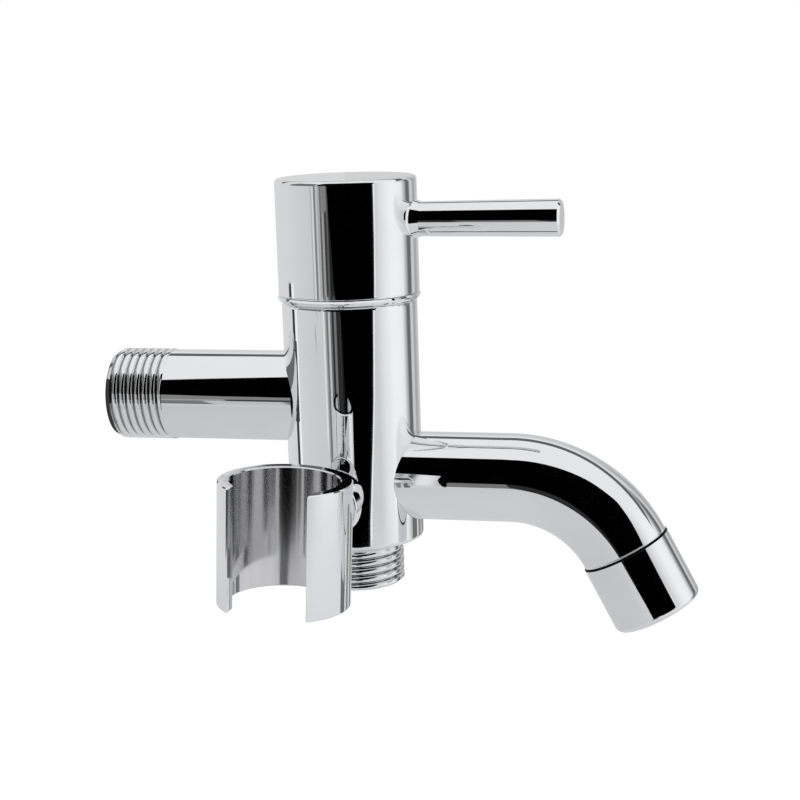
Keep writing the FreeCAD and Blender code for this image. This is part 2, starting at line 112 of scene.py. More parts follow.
# the room that the metal reflects: a white studio with a black flag behind the camera
studio = {
    "towardsCamera": 15.7, "flagDistance": 0.75, "rimDistance": 0.745,
    # outline on the flag's plane, across and up from the tap's axis
    "flag": [(-0.80, 0.15), (-0.60, 0.105), (-0.47, 0.010), (-0.44, -0.018), (-0.38, -0.047),
             (-0.335, -0.080), (-0.215, -0.088), (-0.19, -0.108), (-0.17, -0.143), (-0.15, -0.2495),
             (0.28, -0.2495), (0.30, -0.233), (0.44, -0.192), (0.51, -0.170), (0.57, -0.136),
             (0.60, -0.114), (0.64, -0.100), (0.69, -0.066), (0.71, -0.034), (0.70, 0.15),
             (0.76, 0.35), (0.95, 0.90), (0.60, 1.20), (-0.40, 1.40), (-0.52, 1.50), (-0.80, 1.55)],
    # strips along the flag's lower right side: its corners, and each strip's two edges and grey
    "rimCorners": (10, 20),
    "rims": {"flagSoftRim": (-0.05, 0.0, 0.03), "flagBrightRim": (0.0, 0.06, 0.95)},
    # upright strips left of the flag: first and last direction, grey
    "streakDistance": 0.78, "streakTop": 0.30, "streakFoot": -0.2495, "streakSplit": (-0.080, -0.070),
    "highStreaks": [(-59.0, -57.0, 0.50), (-56.0, -53.5, 0.74), (-53.5, -50.0, 0.23), (-50.0, -47.0, 0.60),
                    (-47.0, -43.0, 0.44), (-43.0, -40.0, 0.12), (-40.0, -36.5, 0.36), (-36.5, -33.0, 0.05),
                    (-33.0, -30.0, 0.11), (-30.0, -20.0, 0.02)],
    "lowStreaks": [(-63.0, -60.5, 0.48), (-47.0, -43.5, 0.80), (-43.5, -41.0, 0.40), (-41.0, -37.5, 0.20),
                   (-37.5, -34.0, 0.58), (-34.0, -31.0, 0.17), (-31.0, -27.5, 0.035), (-27.5, -23.5, 0.19),
                   (-23.5, -19.5, 0.025), (-19.5, -16.0, 0.03), (-16.0, -10.0, 0.012)],
    # grey wall at the left: direction and distance of its two ends
    "sideFlag": {"ends": [(-50.0, 1.06), (-100.0, 1.0)], "heights": (0.09, 1.0), "grey": 0.17},
    # grey band under the flag's left end, and a shade close to the inlet's open end
    "leftBand": {"outline": [(-0.66, 0.110), (-0.47, 0.060), (-0.47, -0.030), (-0.66, -0.045)], "grey": 0.24},
    "inletShade": {"x": -0.004, "y": (-0.0122, 0.005), "z": (-0.0138, 0.0064), "grey": 0.05},
    # dark mat on the floor before the flag's foot: directions, distances
    "mat": {"turns": (-8.0, 8.0), "distances": (0.42, 0.745), "lift": 0.0005, "grey": 0.18},
    # posts that stand on the floor: first and last direction, grey
    "leftPosts": {"leftPost": (-114.5, -107.5, 0.05), "leftPostEdge": (-106.5, -101.0, 0.98)},
    "leftPostDistance": 0.95, "leftPostTop": -0.090,
    "rightPosts": {"rightPost1": (109.0, 124.0, 0.17), "rightPost2": (130.0, 140.0, 0.28),
                   "rightPost3": (146.0, 158.0, 0.24)},
    "rightPostDistance": 0.50, "rightPostTop": -0.13, "rightPostFoot": 0.0005,
    "backBar": {"far": 0.95, "heights": (0.83, 1.28), "halfLength": 2.5, "grey": 0.13},
    # brightness of the room by direction round the tap, 0 is towards the camera
    "room": [(-180, 0.70), (-150, 0.74), (-110, 0.74), (-60, 0.66), (44, 0.67), (50, 0.75), (57, 0.85),
             (66, 0.93), (74, 0.99), (88, 0.99), (99, 0.92), (103, 0.74), (107, 0.52), (110, 0.42),
             (113, 0.16), (121, 0.15), (124, 0.48), (127, 0.70), (132, 0.62), (138, 0.40), (143, 0.42),
             (149, 0.55), (180, 0.66)],
    "roomBlue": 1.008, "ceiling": 0.90, "ceilingBlue": 1.005, "ceilingRise": (0.30, 0.75), "diffuseRoom": 0.80,
    "floorHeight": -0.25, "floorSize": 8.0, "floorColour": (0.88, 0.88, 0.885), "floorRoughness": 0.95,
    "floorGlow": 0.30, "whiteFrom": 0.30, "whiteTo": 0.95,
    # grey of the floor in the metal by its place along X
    "floorInMetal": [(-0.20, 0.60), (-0.05, 0.64), (0.03, 0.68), (0.22, 0.69), (0.45, 0.80)],
    "floorInMetalBlue": 1.02, "floorInMetalReach": 0.75, "floorInMetalFade": (0.8, 1.2),
}


def studioPoint(turn, distance, height):
    angle = math.radians(studio["towardsCamera"] + turn)
    return Vector((bodyAxis + distance * math.sin(angle), -distance * math.cos(angle), height))


def flagPoint(across, up, distance=studio["flagDistance"]):
    turn = math.degrees(math.atan2(across, distance))
    return studioPoint(turn, math.hypot(across, distance), up)


def glowMaterial(name, grey):
    material = bpy.data.materials.new(name)
    tree = emptyTree(material)
    glow = addNode(tree, "ShaderNodeEmission", {"Color": (grey, grey, grey, 1.0)})
    out = addNode(tree, "ShaderNodeOutputMaterial")
    linkNodes(tree, (glow.outputs[0], out.inputs["Surface"]))
    return material


def studioCard(name, corners, grey):
    # a flat card that only the metal sees
    bpy.ops.mesh.primitive_circle_add(vertices=len(corners), radius=1.0, fill_type='NGON')
    card = bpy.context.object
    card.name = name
    for vertex, corner in zip(card.data.vertices, corners):
        vertex.co = corner
    card.data.materials.append(glowMaterial(name + "Paint", grey))
    card.visible_camera = False
    card.visible_diffuse = False
    card.visible_shadow = False
    card.visible_transmission = False


def standingCard(name, ends, foot, top, grey):
    # upright, between two ends given by direction and distance
    (turnA, farA), (turnB, farB) = ends
    studioCard(name, [studioPoint(turnA, farA, foot), studioPoint(turnB, farB, foot),
                      studioPoint(turnB, farB, top), studioPoint(turnA, farA, top)], grey)


def streakCards(name, streaks, end):
    # from the curved line between high and low streaks to their end
    distance = studio["streakDistance"]
    base, curve = studio["streakSplit"]
    for i, (left, right, grey) in enumerate(streaks):
        sides = [distance * math.tan(math.radians(turn)) for turn in (left, right)]
        split = [base + curve * side ** 2 for side in sides]
        corners = [(sides[0], split[0]), (sides[1], split[1]), (sides[1], end), (sides[0], end)]
        studioCard("%sStreak%d" % (name, i + 1), [flagPoint(*corner, distance) for corner in corners], grey)


def placePosts(posts, distance, foot, top):
    for name, (left, right, grey) in posts.items():
        standingCard(name, ((left, distance), (right, distance)), foot, top, grey)


def placeCards():
    flag, floorHeight, rimDistance = studio["flag"], studio["floorHeight"], studio["rimDistance"]
    studioCard("blackFlag", [flagPoint(*corner) for corner in flag], 0.0)
    edge = flag[slice(*studio["rimCorners"])]
    for name, (near, far, grey) in studio["rims"].items():
        inner = [flagPoint(across + near, up, rimDistance) for across, up in edge]
        outer = [flagPoint(across + far, up, rimDistance) for across, up in reversed(edge)]
        studioCard(name, inner + outer, grey)
    streakCards("high", studio["highStreaks"], studio["streakTop"])
    streakCards("low", studio["lowStreaks"], studio["streakFoot"])
    side = studio["sideFlag"]
    standingCard("sideFlag", side["ends"], *side["heights"], side["grey"])
    band = studio["leftBand"]
    studioCard("leftBand", [flagPoint(*corner, rimDistance) for corner in band["outline"]], band["grey"])
    shade = studio["inletShade"]
    (front, back), (foot, top) = shade["y"], shade["z"]
    corners = ((front, foot), (back, foot), (back, top), (front, top))
    studioCard("inletShade", [Vector((shade["x"], y, z)) for y, z in corners], shade["grey"])
    mat = studio["mat"]
    (left, right), (near, far) = mat["turns"], mat["distances"]
    corners = ((left, far), (right, far), (right, near), (left, near))
    studioCard("floorMat", [studioPoint(*corner, floorHeight + mat["lift"]) for corner in corners], mat["grey"])
    placePosts(studio["leftPosts"], studio["leftPostDistance"], floorHeight, studio["leftPostTop"])
    placePosts(studio["rightPosts"], studio["rightPostDistance"], floorHeight + studio["rightPostFoot"],
               studio["rightPostTop"])
    bar = studio["backBar"]
    (foot, top), reach = bar["heights"], bar["halfLength"]
    corners = ((-reach, foot), (reach, foot), (reach, top), (-reach, top))
    studioCard("backBar", [Vector((x, bar["far"], z)) for x, z in corners], bar["grey"])


def makeFloor():
    bpy.ops.mesh.primitive_plane_add(size=studio["floorSize"], location=(0, 0, 0))
    floor = bpy.context.object
    floor.name = "paleFloor"
    middle = (bodyAxis, 0.0, studio["floorHeight"])
    for vertex in floor.data.vertices:
        vertex.co += Vector(middle)
    material = bpy.data.materials.new("floorPaper")
    tree = emptyTree(material)
    coords = addNode(tree, "ShaderNodeTexCoord")
    centre = addNode(tree, "ShaderNodeVectorMath", {1: middle}, operation='SUBTRACT')
    length = addNode(tree, "ShaderNodeVectorMath", operation='LENGTH')
    # the paper that the camera sees, white from some way out
    paper = addNode(tree, "ShaderNodeBsdfPrincipled",
                    {"Base Color": (*studio["floorColour"], 1.0), "Roughness": studio["floorRoughness"],
                     "Specular IOR Level": 0.0})
    lift = addNode(tree, "ShaderNodeEmission", {"Strength": studio["floorGlow"]})
    lifted = addNode(tree, "ShaderNodeAddShader")
    whiteFar = addNode(tree, "ShaderNodeMapRange",
                       {"From Min": studio["whiteFrom"], "From Max": studio["whiteTo"]},
                       interpolation_type='SMOOTHSTEP')
    white = addNode(tree, "ShaderNodeEmission")
    backdrop = addNode(tree, "ShaderNodeMixShader")
    # the grey that the metal sees, which ends at its reach
    greys, reach = studio["floorInMetal"], studio["floorInMetalReach"]
    across = addNode(tree, "ShaderNodeSeparateXYZ")
    slope = addNode(tree, "ShaderNodeMapRange", {"From Min": greys[0][0], "From Max": greys[-1][0]})
    tone = addNode(tree, "ShaderNodeValToRGB")
    fillRamp(tone, greys, studio["floorInMetalBlue"])
    inMetal = addNode(tree, "ShaderNodeEmission")
    through = addNode(tree, "ShaderNodeBsdfTransparent")
    nearFade, farFade = studio["floorInMetalFade"]
    fade = addNode(tree, "ShaderNodeMapRange", {"From Min": reach * nearFade, "From Max": reach * farFade})
    farOut = addNode(tree, "ShaderNodeMixShader")
    # from below the camera looks through the floor
    geometry = addNode(tree, "ShaderNodeNewGeometry")
    fromBelow = addNode(tree, "ShaderNodeMixShader")
    path = addNode(tree, "ShaderNodeLightPath")
    forGlossy = addNode(tree, "ShaderNodeMixShader")
    forCamera = addNode(tree, "ShaderNodeMixShader")
    out = addNode(tree, "ShaderNodeOutputMaterial")
    linkNodes(tree,
              (coords.outputs["Object"], centre.inputs[0]), (centre.outputs[0], length.inputs[0]),
              (paper.outputs[0], lifted.inputs[0]), (lift.outputs[0], lifted.inputs[1]),
              (length.outputs["Value"], whiteFar.inputs["Value"]), (whiteFar.outputs[0], backdrop.inputs["Fac"]),
              (lifted.outputs[0], backdrop.inputs[1]), (white.outputs[0], backdrop.inputs[2]),
              (coords.outputs["Object"], across.inputs[0]), (across.outputs["X"], slope.inputs["Value"]),
              (slope.outputs[0], tone.inputs[0]), (tone.outputs[0], inMetal.inputs["Color"]),
              (length.outputs["Value"], fade.inputs["Value"]), (fade.outputs[0], farOut.inputs["Fac"]),
              (inMetal.outputs[0], farOut.inputs[1]), (through.outputs[0], farOut.inputs[2]),
              (path.outputs["Is Glossy Ray"], forGlossy.inputs["Fac"]),
              (paper.outputs[0], forGlossy.inputs[1]), (farOut.outputs[0], forGlossy.inputs[2]),
              (geometry.outputs["Backfacing"], fromBelow.inputs["Fac"]),
              (backdrop.outputs[0], fromBelow.inputs[1]), (through.outputs[0], fromBelow.inputs[2]),
              (path.outputs["Is Camera Ray"], forCamera.inputs["Fac"]),
              (forGlossy.outputs[0], forCamera.inputs[1]), (fromBelow.outputs[0], forCamera.inputs[2]),
              (forCamera.outputs[0], out.inputs["Surface"]))
    floor.data.materials.append(material)


def makeRoom():
    world = bpy.data.worlds.new("whiteRoom")
    scene.world = world
    tree = emptyTree(world)
    coords = addNode(tree, "ShaderNodeTexCoord")
    # direction round the tap
    angle = math.radians(studio["towardsCamera"])
    ahead = addNode(tree, "ShaderNodeVectorMath", {1: (math.sin(angle), -math.cos(angle), 0.0)},
                    operation='DOT_PRODUCT')
    side = addNode(tree, "ShaderNodeVectorMath", {1: (math.cos(angle), math.sin(angle), 0.0)},
                   operation='DOT_PRODUCT')
    turn = addNode(tree, "ShaderNodeMath", operation='ARCTAN2')
    unit = addNode(tree, "ShaderNodeMapRange", {"From Min": -math.pi, "From Max": math.pi})
    ramp = addNode(tree, "ShaderNodeValToRGB")
    fillRamp(ramp, studio["room"], studio["roomBlue"])
    # an even ceiling above
    split = addNode(tree, "ShaderNodeSeparateXYZ")
    low, high = studio["ceilingRise"]
    rise = addNode(tree, "ShaderNodeMapRange", {"From Min": low, "From Max": high},
                   interpolation_type='SMOOTHSTEP')
    grey = studio["ceiling"]
    blend = addNode(tree, "ShaderNodeMix", {"B": (grey, grey, grey * studio["ceilingBlue"], 1.0)},
                    data_type='RGBA')
    room = addNode(tree, "ShaderNodeBackground")
    soft = addNode(tree, "ShaderNodeBackground", {"Color": (1, 1, 1, 1), "Strength": studio["diffuseRoom"]})
    white = addNode(tree, "ShaderNodeBackground", {"Color": (1, 1, 1, 1)})
    path = addNode(tree, "ShaderNodeLightPath")
    forGlossy = addNode(tree, "ShaderNodeMixShader")
    forCamera = addNode(tree, "ShaderNodeMixShader")
    out = addNode(tree, "ShaderNodeOutputWorld")
    linkNodes(tree,
              (coords.outputs["Generated"], ahead.inputs[0]), (coords.outputs["Generated"], side.inputs[0]),
              (side.outputs["Value"], turn.inputs[0]), (ahead.outputs["Value"], turn.inputs[1]),
              (turn.outputs[0], unit.inputs["Value"]), (unit.outputs[0], ramp.inputs[0]),
              (coords.outputs["Generated"], split.inputs[0]), (split.outputs["Z"], rise.inputs["Value"]),
              (rise.outputs[0], blend.inputs["Factor"]), (ramp.outputs[0], blend.inputs["A"]),
              (blend.outputs["Result"], room.inputs["Color"]),
              (path.outputs["Is Glossy Ray"], forGlossy.inputs["Fac"]),
              (soft.outputs[0], forGlossy.inputs[1]), (room.outputs[0], forGlossy.inputs[2]),
              (path.outputs["Is Camera Ray"], forCamera.inputs["Fac"]),
              (forGlossy.outputs[0], forCamera.inputs[1]), (white.outputs[0], forCamera.inputs[2]),
              (forCamera.outputs[0], out.inputs["Surface"]))


lamps = {
    "key": {"place": (-0.45, -0.35, 0.75), "size": 0.6, "power": 3.0},
    "fill": {"place": (0.70, -0.20, 0.60), "size": 0.7, "power": 2.0},
}


def hangLamps():
    for name, values in lamps.items():
        place = Vector(values["place"])
        aim = (Vector((bodyAxis, 0.0, 0.0)) - place).to_track_quat('-Z', 'Y').to_euler()
        bpy.ops.object.light_add(type='AREA', location=place, rotation=aim)
        lamp = bpy.context.object
        lamp.name = name + "Lamp"
        lamp.data.size = values["size"]
        lamp.data.energy = values["power"]
        lamp.visible_glossy = False


placeCards()
makeFloor()
makeRoom()
hangLamps()
print("studio made")

# faint waves, and wiping marks inside larger stains, of a hand-polished plated surface
polish = {
    "inputs": {"Wave Size": 70.0, "Wave Depth": 0.00001, "Mark Size": 900.0, "Base": (0.86, 0.87, 0.88, 1),
               "Dull": (0.80, 0.81, 0.83, 1), "Smooth": 0.03, "Rough": 0.08},
    "outputs": {"Color": "NodeSocketColor", "Roughness": "NodeSocketFloat", "Normal": "NodeSocketVector"},
    "waves": {"Detail": 1.0},
    "marks": {"Detail": 4.0, "Roughness": 0.6},
    "stains": {"Scale": 130.0, "Detail": 3.0},
    "stainRange": {"From Min": 0.45, "From Max": 0.75},
}


def makePolishGroup():
    group = bpy.data.node_groups.new("polishMarks", "ShaderNodeTree")
    for name, value in polish["inputs"].items():
        kind = "NodeSocketFloat" if isinstance(value, float) else "NodeSocketColor"
        group.interface.new_socket(name=name, in_out='INPUT', socket_type=kind).default_value = value
    for name, kind in polish["outputs"].items():
        group.interface.new_socket(name=name, in_out='OUTPUT', socket_type=kind)
    given, result = addNode(group, "NodeGroupInput"), addNode(group, "NodeGroupOutput")
    coords = addNode(group, "ShaderNodeTexCoord")
    waves = addNode(group, "ShaderNodeTexNoise", polish["waves"])
    marks = addNode(group, "ShaderNodeTexNoise", polish["marks"])
    stains = addNode(group, "ShaderNodeTexNoise", polish["stains"])
    mask = addNode(group, "ShaderNodeMapRange", polish["stainRange"])
    product = addNode(group, "ShaderNodeMath", operation='MULTIPLY')
    tint = addNode(group, "ShaderNodeMix", data_type='RGBA')
    rough = addNode(group, "ShaderNodeMix", data_type='FLOAT')
    bump = addNode(group, "ShaderNodeBump", {"Strength": 1.0})
    linkNodes(group,
              (coords.outputs["Object"], waves.inputs["Vector"]), (given.outputs["Wave Size"], waves.inputs["Scale"]),
              (coords.outputs["Object"], marks.inputs["Vector"]), (given.outputs["Mark Size"], marks.inputs["Scale"]),
              (coords.outputs["Object"], stains.inputs["Vector"]), (stains.outputs["Fac"], mask.inputs["Value"]),
              (mask.outputs[0], product.inputs[0]), (marks.outputs["Fac"], product.inputs[1]),
              (product.outputs[0], tint.inputs["Factor"]), (given.outputs["Base"], tint.inputs["A"]),
              (given.outputs["Dull"], tint.inputs["B"]), (product.outputs[0], rough.inputs["Factor"]),
              (given.outputs["Smooth"], rough.inputs["A"]), (given.outputs["Rough"], rough.inputs["B"]),
              (waves.outputs["Fac"], bump.inputs["Height"]), (given.outputs["Wave Depth"], bump.inputs["Distance"]),
              (tint.outputs["Result"], result.inputs["Color"]),
              (rough.outputs["Result"], result.inputs["Roughness"]),
              (bump.outputs["Normal"], result.inputs["Normal"]))
    return group


polishMarks = makePolishGroup()


def plainMaterial(name):
    material = bpy.data.materials.new(name)
    material.use_nodes = True
    tree = material.node_tree
    return material, tree, tree.nodes["Principled BSDF"]


plating = {"Base": (0.87, 0.876, 0.885, 1), "Dull": (0.83, 0.836, 0.845, 1), "Smooth": 0.025, "Rough": 0.06,
           "Wave Size": 70.0, "Wave Depth": 0.000008, "Mark Size": 900.0}
metals = {
    "chromePlate": plating, "inletPlate": plating, "spoutPlate": plating, "nozzlePlate": plating,
    "threadPlate": {"Base": (0.84, 0.845, 0.85, 1), "Dull": (0.66, 0.66, 0.67, 1), "Smooth": 0.04,
                    "Rough": 0.20, "Wave Size": 160.0, "Wave Depth": 0.00001, "Mark Size": 1500.0},
    "turnedBrass": {"Base": (0.78, 0.60, 0.32, 1), "Dull": (0.62, 0.44, 0.20, 1), "Smooth": 0.22,
                    "Rough": 0.40, "Wave Size": 300.0, "Wave Depth": 0.000004, "Mark Size": 1200.0},
    "bareSteel": {"Base": (0.62, 0.62, 0.63, 1), "Dull": (0.48, 0.48, 0.49, 1), "Smooth": 0.20,
                  "Rough": 0.38, "Wave Size": 400.0, "Wave Depth": 0.000004, "Mark Size": 1800.0},
}


def polishedMetal(name, values):
    material, tree, shader = plainMaterial(name)
    marks = addNode(tree, "ShaderNodeGroup", values, node_tree=polishMarks)
    shader.inputs["Metallic"].default_value = 1.0
    linkNodes(tree, (marks.outputs["Color"], shader.inputs["Base Color"]),
              (marks.outputs["Roughness"], shader.inputs["Roughness"]),
              (marks.outputs["Normal"], shader.inputs["Normal"]))
    return material


def blendIn(material, mask, colour, roughness):
    # another colour and roughness where the mask is 1
    tree = material.node_tree
    shader = tree.nodes["Principled BSDF"]
    tint = addNode(tree, "ShaderNodeMix", {"B": (*colour, 1)}, data_type='RGBA')
    rough = addNode(tree, "ShaderNodeMix", {"B": roughness}, data_type='FLOAT')
    oldColour = shader.inputs["Base Color"].links[0].from_socket
    oldRoughness = shader.inputs["Roughness"].links[0].from_socket
    linkNodes(tree, (mask, tint.inputs["Factor"]), (mask, rough.inputs["Factor"]),
              (oldColour, tint.inputs["A"]), (oldRoughness, rough.inputs["A"]),
              (tint.outputs["Result"], shader.inputs["Base Color"]),
              (rough.outputs["Result"], shader.inputs["Roughness"]))


def placeMask(material, centre, keep, start, full, distance):
    # 0 at start and 1 at full, by the distance from an axis or the way along it
    tree = material.node_tree
    coords = addNode(tree, "ShaderNodeTexCoord")
    centred = addNode(tree, "ShaderNodeVectorMath", {1: centre}, operation='SUBTRACT')
    part = addNode(tree, "ShaderNodeVectorMath", {1: keep}, operation='MULTIPLY' if distance else 'DOT_PRODUCT')
    mask = addNode(tree, "ShaderNodeMapRange", {"From Min": start, "From Max": full})
    linkNodes(tree, (coords.outputs["Object"], centred.inputs[0]), (centred.outputs[0], part.inputs[0]))
    if distance:
        length = addNode(tree, "ShaderNodeVectorMath", operation='LENGTH')
        linkNodes(tree, (part.outputs[0], length.inputs[0]), (length.outputs["Value"], mask.inputs["Value"]))
    else:
        linkNodes(tree, (part.outputs["Value"], mask.inputs["Value"]))
    return mask.outputs[0]


# plastics, rubber and ceramic: soft mottling and a fine grain
mouldings = {
    "sealRubber": {"base": (0.018, 0.018, 0.019), "dark": (0.035, 0.034, 0.033), "roughness": 0.55,
                   "grain": 1600.0, "depth": 0.00001},
    "discCeramic": {"base": (0.86, 0.85, 0.82), "dark": (0.78, 0.77, 0.74), "roughness": 0.30,
                    "grain": 2200.0, "depth": 0.000002},
    "slidePlastic": {"base": (0.80, 0.80, 0.78), "dark": (0.72, 0.72, 0.70), "roughness": 0.42,
                     "grain": 1500.0, "depth": 0.000004},
    "aeratorPlastic": {"base": (0.62, 0.63, 0.65), "dark": (0.52, 0.53, 0.55), "roughness": 0.38,
                       "grain": 1500.0, "depth": 0.000004},
}
mouldedSurface = {"mottleShare": 0.25, "fineDetail": 3.0, "roughnessSpread": 0.06}


def mouldedMaterial(name, values):
    material, tree, shader = plainMaterial(name)
    grain, roughness, spread = values["grain"], values["roughness"], mouldedSurface["roughnessSpread"]
    coords = addNode(tree, "ShaderNodeTexCoord")
    mottle = addNode(tree, "ShaderNodeTexNoise", {"Scale": grain * mouldedSurface["mottleShare"]})
    fine = addNode(tree, "ShaderNodeTexNoise", {"Scale": grain, "Detail": mouldedSurface["fineDetail"]})
    tint = addNode(tree, "ShaderNodeMix", {"A": (*values["base"], 1), "B": (*values["dark"], 1)}, data_type='RGBA')
    rough = addNode(tree, "ShaderNodeMapRange", {"To Min": roughness - spread, "To Max": roughness + spread})
    bump = addNode(tree, "ShaderNodeBump", {"Distance": values["depth"]})
    linkNodes(tree,
              (coords.outputs["Object"], mottle.inputs["Vector"]), (coords.outputs["Object"], fine.inputs["Vector"]),
              (mottle.outputs["Fac"], tint.inputs["Factor"]), (tint.outputs["Result"], shader.inputs["Base Color"]),
              (fine.outputs["Fac"], rough.inputs["Value"]), (rough.outputs[0], shader.inputs["Roughness"]),
              (fine.outputs["Fac"], bump.inputs["Height"]), (bump.outputs["Normal"], shader.inputs["Normal"]))
    return material


# the sprayer holder: bright outside, duller and streaked from top to bottom inside the sleeve
holderFinish = {
    "centre": (bodyAxis, -0.0539, -0.0193), "lean": 3.2, "insideRadius": 0.0122, "insideBlend": 0.0003,
    "outside": {"Base": (0.86, 0.87, 0.88, 1), "Smooth": 0.05, "Rough": 0.16},
    "insideColour": (0.62, 0.62, 0.63), "streakColour": (0.78, 0.78, 0.79), "insideRoughness": (0.07, 0.16),
    "streaks": {"Scale": 420.0, "Detail": 3.0}, "streakStretch": (1, 1, 0.03), "streakDepth": 0.00002,
}


def makeHolderPlate(name):
    v = holderFinish
    material, tree, shader = plainMaterial(name)
    marks = addNode(tree, "ShaderNodeGroup", v["outside"], node_tree=polishMarks)
    coords = addNode(tree, "ShaderNodeTexCoord")
    centred = addNode(tree, "ShaderNodeVectorMath", {1: v["centre"]}, operation='SUBTRACT')
    upright = addNode(tree, "ShaderNodeVectorRotate", {"Angle": -math.radians(v["lean"])}, rotation_type='Y_AXIS')
    # 1 inside the sleeve
    flatten = addNode(tree, "ShaderNodeVectorMath", {1: (1, 1, 0)}, operation='MULTIPLY')
    radius = addNode(tree, "ShaderNodeVectorMath", operation='LENGTH')
    inside = addNode(tree, "ShaderNodeMapRange", {"From Min": v["insideRadius"],
                                                  "From Max": v["insideRadius"] - v["insideBlend"]})
    stretch = addNode(tree, "ShaderNodeVectorMath", {1: v["streakStretch"]}, operation='MULTIPLY')
    streaks = addNode(tree, "ShaderNodeTexNoise", v["streaks"])
    dull = addNode(tree, "ShaderNodeMix", {"A": (*v["insideColour"], 1), "B": (*v["streakColour"], 1)},
                   data_type='RGBA')
    colour = addNode(tree, "ShaderNodeMix", data_type='RGBA')
    smooth, satin = v["insideRoughness"]
    insideRough = addNode(tree, "ShaderNodeMapRange", {"To Min": smooth, "To Max": satin})
    rough = addNode(tree, "ShaderNodeMix", data_type='FLOAT')
    depth = addNode(tree, "ShaderNodeMath", operation='MULTIPLY')
    bump = addNode(tree, "ShaderNodeBump", {"Distance": v["streakDepth"]})
    shader.inputs["Metallic"].default_value = 1.0
    linkNodes(tree,
              (coords.outputs["Object"], centred.inputs[0]), (centred.outputs[0], upright.inputs["Vector"]),
              (upright.outputs[0], flatten.inputs[0]), (flatten.outputs[0], radius.inputs[0]),
              (radius.outputs["Value"], inside.inputs["Value"]),
              (upright.outputs[0], stretch.inputs[0]), (stretch.outputs[0], streaks.inputs["Vector"]),
              (streaks.outputs["Fac"], dull.inputs["Factor"]), (inside.outputs[0], colour.inputs["Factor"]),
              (marks.outputs["Color"], colour.inputs["A"]), (dull.outputs["Result"], colour.inputs["B"]),
              (colour.outputs["Result"], shader.inputs["Base Color"]),
              (streaks.outputs["Fac"], insideRough.inputs["Value"]), (inside.outputs[0], rough.inputs["Factor"]),
              (marks.outputs["Roughness"], rough.inputs["A"]), (insideRough.outputs[0], rough.inputs["B"]),
              (rough.outputs["Result"], shader.inputs["Roughness"]),
              (streaks.outputs["Fac"], depth.inputs[0]), (inside.outputs[0], depth.inputs[1]),
              (depth.outputs[0], bump.inputs["Height"]), (marks.outputs["Normal"], bump.inputs["Normal"]),
              (bump.outputs["Normal"], shader.inputs["Normal"]))
    return material


materials = {name: polishedMetal(name, values) for name, values in metals.items()}
materials.update({name: mouldedMaterial(name, values) for name, values in mouldings.items()})
materials["holderPlate"] = makeHolderPlate("holderPlate")

# painted shade in the grooves of the threads, with its own roughness: material, axis and the directions across it
paintedGrooveShade = {"start": 0.0100, "full": 0.0096, "colour": (0.50, 0.50, 0.51), "roughness": 0.13,
           "threads": [("threadPlate", (bodyAxis, 0, 0), (1, 1, 0)), ("inletPlate", (0, 0, 0), (0, 1, 1))]}
# painted shade in the gap between spout and nozzle: how far along the spout it starts and is full
paintedJointShade = {"place": (0.11615, 0.0, -0.03287), "way": (0.4602, 0.0, -0.8878), "colour": (0.03, 0.03, 0.03),
         "roughness": 0.55, "sides": {"spoutPlate": (-0.00003, 0.00002), "nozzlePlate": (0.00047, 0.00042)}}

# painted shade: the thread grooves are darkened in colour, as shade in a recess would be
for name, centre, across in paintedGrooveShade["threads"]:
    mask = placeMask(materials[name], centre, across, paintedGrooveShade["start"], paintedGrooveShade["full"], True)
    blendIn(materials[name], mask, paintedGrooveShade["colour"], paintedGrooveShade["roughness"])
# painted shade: spout and nozzle are darkened in colour next to their joint, where shade falls in the gap
for name, (start, full) in paintedJointShade["sides"].items():
    mask = placeMask(materials[name], paintedJointShade["place"], paintedJointShade["way"], start, full, False)
    blendIn(materials[name], mask, paintedJointShade["colour"], paintedJointShade["roughness"])

finishes = {
    "chromePlate": ["body", "skirt_ring", "handle_cap", "lever_rod", "holder_boss"],
    "inletPlate": ["inlet_tube"],
    "spoutPlate": ["spout_tube"],
    "nozzlePlate": ["nozzle"],
    "threadPlate": ["outlet_nipple"],
    "holderPlate": ["holder_pivot", "holder_clip"],
    "turnedBrass": ["cartridge_housing", "spindle", "retaining_nut"],
    "discCeramic": ["fixed_disc", "moving_disc"],
    "sealRubber": ["aerator_washer", "outlet_seal", "cartridge_seal", "housing_ring", "spindle_ring"],
    "slidePlastic": ["spindle_washer", "holder_washer"],
    "aeratorPlastic": ["aerator_body"],
    "bareSteel": ["aerator_screen", "lever_stud", "holder_grub"],
}
for finish, names in finishes.items():
    for name in names:
        slots = nodes[name].data.materials
        if len(slots) == 0:
            slots.append(materials[finish])
        for i in range(len(slots)):
            slots[i] = materials[finish]
print("finishes made")

# distances within which points merge, and how far cutters reach past a piece
shaping = {"steps": 144, "turnMerge": 0.000001, "doubles": 0.0000005, "flatCut": 0.0000001,
           "finalDoubles": 0.000002, "smoothAngle": 38, "past": 0.001}


def chainMesh(name, points):
    # an open line of points in the XZ plane, ready to be turned
    bpy.ops.object.select_all(action='DESELECT')
    bpy.ops.mesh.primitive_circle_add(vertices=len(points), radius=1.0, fill_type='NOTHING')
    piece = bpy.context.object
    piece.name = name
    piece.data.name = name
    for vertex, (r, z) in zip(piece.data.vertices, points):
        vertex.co = (r, 0.0, z)
    enterEdit(piece, 'EDGE')
    mesh = bmesh.from_edit_mesh(piece.data)
    last = len(points) - 1
    for edge in mesh.edges:
        edge.select = {edge.verts[0].index, edge.verts[1].index} == {0, last}
    bmesh.update_edit_mesh(piece.data)
    bpy.ops.mesh.delete(type='EDGE')
    leaveEdit()
    return piece


def mergeAndFaceOut(piece, distance):
    enterEdit(piece, action='SELECT')
    bpy.ops.mesh.remove_doubles(threshold=distance)
    bpy.ops.mesh.normals_make_consistent(inside=False)
    leaveEdit()


